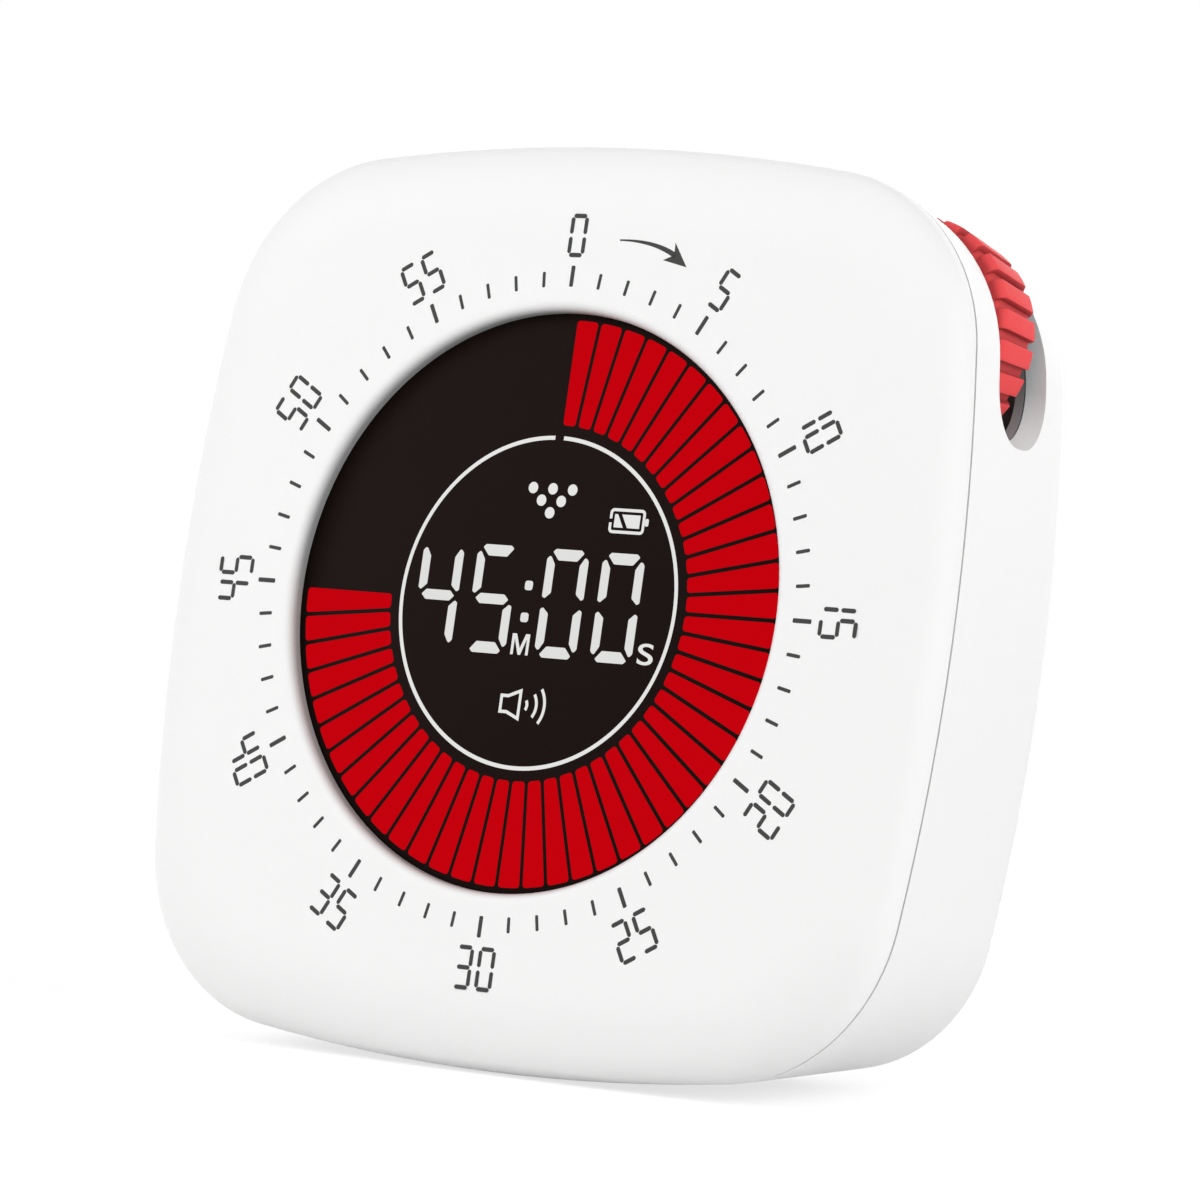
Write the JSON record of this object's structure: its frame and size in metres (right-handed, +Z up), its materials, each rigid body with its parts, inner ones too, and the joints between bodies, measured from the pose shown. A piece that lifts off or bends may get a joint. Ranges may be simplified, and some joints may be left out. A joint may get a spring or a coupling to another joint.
{
  "type": "pomodoro timer",
  "caption": "Desk timer with a square soft-cornered case, a round segment display ringed by minute marks and a ribbed thumbwheel in one corner.",
  "frame": {"origin": "centre of the grip pad's underside, on the surface that the timer stands on", "axes": "+Z up, the face toward -Y and leaning back by the case's draft, +X to the viewer's right"},
  "size_m": [0.08, 0.037, 0.0793],
  "materials": {
    "white_shell": "fine matt, moulded",
    "red_plastic": "satin, moulded",
    "black_plastic": "matt",
    "white_plastic": "satin",
    "grey_plastic": "satin",
    "window": "clear, smoked, glossy",
    "lcd_glass": "dark, with lit segments",
    "adhesive": "black film",
    "film": "white film",
    "light_guide": "clear",
    "led": "yellow phosphor",
    "zebra_rubber": "soft, striped",
    "board": "green solder mask",
    "chip": "moulded resin",
    "steel": "plated",
    "battery_foil": "pouch foil",
    "tape": "foam tape",
    "lead_rubber": "insulated lead",
    "magnet": "plated",
    "cone": "thin film",
    "foam": "foam",
    "foot_rubber": "soft matt"
  },
  "bodies": {
    "case": {"front_shell": "white_shell", "rear_shell": "white_shell", "case_screws": "steel", "foot_pad": "foot_rubber", "display_window": "window", "window_adhesive": "adhesive", "lcd_front_glass": "lcd_glass", "lcd_rear_glass": "lcd_glass", "diffuser_film": "film", "light_guide": "light_guide", "reflector_sheet": "film", "lcd_frame": "white_plastic", "led_strip": "film", "backlight_leds": "led", "zebra_strip": "zebra_rubber", "main_board": "board", "board_screws": "steel", "controller_chip": "chip", "charger_chip": "chip", "crystal": "steel", "encoder_body": "black_plastic", "wheel_shroud": "black_plastic", "battery_cell": "battery_foil", "battery_tape": "tape", "battery_plug": "white_plastic", "battery_socket": "white_plastic", "battery_leads": "lead_rubber", "speaker_gasket": "foam", "speaker_frame": "steel", "speaker_cone": "cone", "speaker_magnet": "magnet", "speaker_leads": "lead_rubber", "usb_c_shell": "steel", "usb_c_tongue": "black_plastic", "volume_switch_body": "steel", "mode_switch_body": "black_plastic"},
    "wheel": {"thumbwheel": "red_plastic", "wheel_axle": "steel", "encoder_rotor": "white_plastic"},
    "slider": {"volume_slider": "grey_plastic"},
    "button": {"mode_button": "grey_plastic", "mode_plunger": "black_plastic"}
  },
  "joints": [
    {"name": "wheel_spin", "type": "hinge", "parent": "case", "child": "wheel", "pos_m": [0.02667, 0.01141, 0.06428], "axis": [0, -0.9877, 0.1564], "continuous": true},
    {"name": "volume_slide", "type": "slide", "parent": "case", "child": "slider", "axis": [0, 0.1564, 0.9877], "range_m": [-0.004, 0]},
    {"name": "mode_press", "type": "slide", "parent": "case", "child": "button", "axis": [1, 0, 0], "range_m": [0, 0.00035], "stiffness_N_per_m": 2000}
  ]
}
